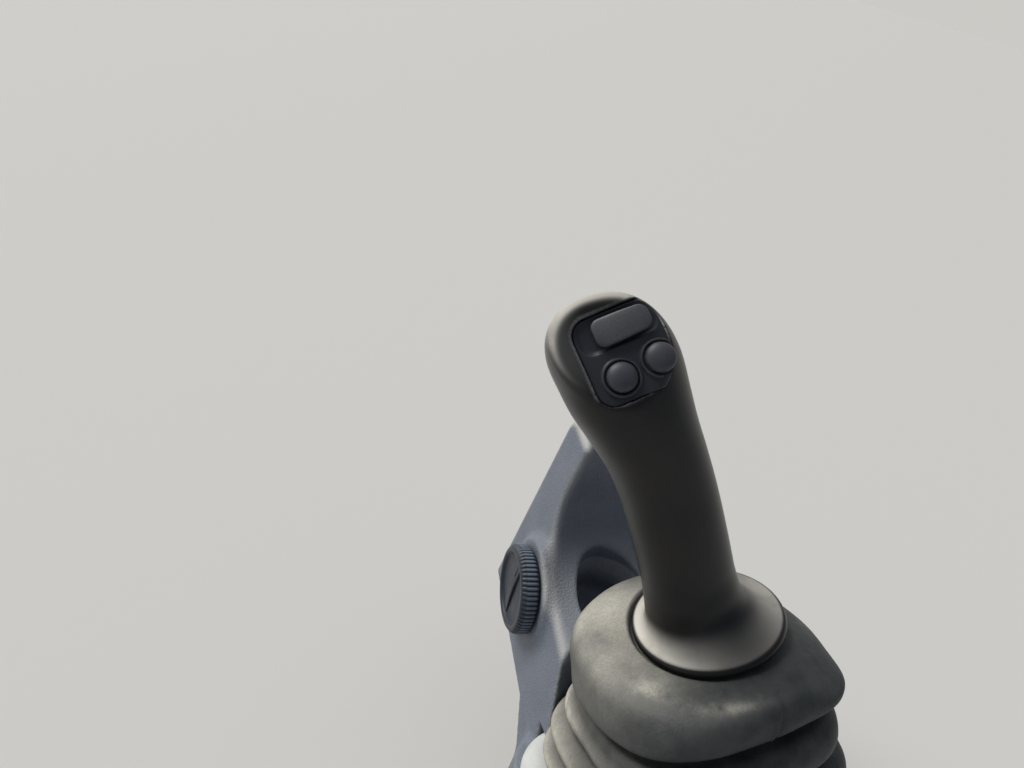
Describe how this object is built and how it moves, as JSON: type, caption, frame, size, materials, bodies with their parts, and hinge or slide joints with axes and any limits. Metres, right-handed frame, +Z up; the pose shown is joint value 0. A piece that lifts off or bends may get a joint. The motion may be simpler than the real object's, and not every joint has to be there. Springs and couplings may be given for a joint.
{
  "type": "joystick and side console of a skid steer loader",
  "caption": "Right-hand control lever on its side console: bent grip with rocker and push buttons, bellows boot, gimballed pilot valve, storage pocket and knurled dial.",
  "frame": {"origin": "centre of the bolt pattern on the underside of the foot plate", "axes": "+X outboard, to the right of the machine, +Y forward, +Z up"},
  "size_m": [0.172, 0.274, 0.3983],
  "materials": {
    "grey_moulding": "fine grained moulding, dusty",
    "pale_moulding": "pale grained moulding, dusty",
    "black_paint": "satin black paint",
    "cast_body": "as cast, phosphated",
    "plated_steel": "zinc plated",
    "grip_plastic": "fine grained, worn",
    "face_plastic": "satin",
    "button_rubber": "satin rubber",
    "boot_rubber": "dusty rubber",
    "dial_plastic": "satin, knurled"
  },
  "bodies": {
    "root": {"pod_shell": "grey_moulding", "boot_collar": "pale_moulding", "carrier": "black_paint", "valve_body": "cast_body", "port_fittings": "plated_steel", "valve_flange": "plated_steel", "gimbal_fork": "plated_steel", "boot": "boot_rubber", "dial_switch": "dial_plastic"},
    "gimbal": {"gimbal_cross": "plated_steel"},
    "lever": {"lever_rod": "plated_steel", "skirt_disc": "grip_plastic", "grip": "grip_plastic", "face_panel": "face_plastic", "bezel_left": "face_plastic", "bezel_right": "face_plastic"},
    "rocker": {"rocker": "button_rubber"},
    "button_left": {"button_left": "button_rubber"},
    "button_right": {"button_right": "button_rubber"},
    "dial": {"dial_knob": "dial_plastic"}
  },
  "joints": [
    {"name": "lever_fore_aft", "type": "hinge", "parent": "root", "child": "gimbal", "pos_m": [0, 0.00782, 0.16541], "axis": [1, 0, 0], "range_deg": [-19, 19], "stiffness_Nm_per_rad": 12, "springref_deg": 1.21, "deforming": ["boot"]},
    {"name": "lever_side", "type": "hinge", "parent": "gimbal", "child": "lever", "pos_m": [0, 0.00782, 0.16541], "axis": [0, 0.9205, -0.3907], "range_deg": [-19, 19], "stiffness_Nm_per_rad": 12, "springref_deg": 0.52},
    {"name": "rocker_tilt", "type": "hinge", "parent": "lever", "child": "rocker", "pos_m": [-0.07039, 0.10064, 0.38517], "axis": [-0.2307, 0.8217, 0.5212], "range_deg": [-8, 8], "stiffness_Nm_per_rad": 0.3},
    {"name": "left_button_press", "type": "slide", "parent": "lever", "child": "button_left", "axis": [-0.4582, -0.5643, 0.6868], "range_m": [-0.0015, 0], "stiffness_N_per_m": 600, "springref_m": 0.001},
    {"name": "right_button_press", "type": "slide", "parent": "lever", "child": "button_right", "axis": [-0.4582, -0.5643, 0.6868], "range_m": [-0.0015, 0], "stiffness_N_per_m": 600, "springref_m": 0.001},
    {"name": "dial_turn", "type": "hinge", "parent": "root", "child": "dial", "pos_m": [-0.02897, 0.143, 0.152], "axis": [-0.9781, 0.2079, 0], "range_deg": [-135, 135]}
  ]
}
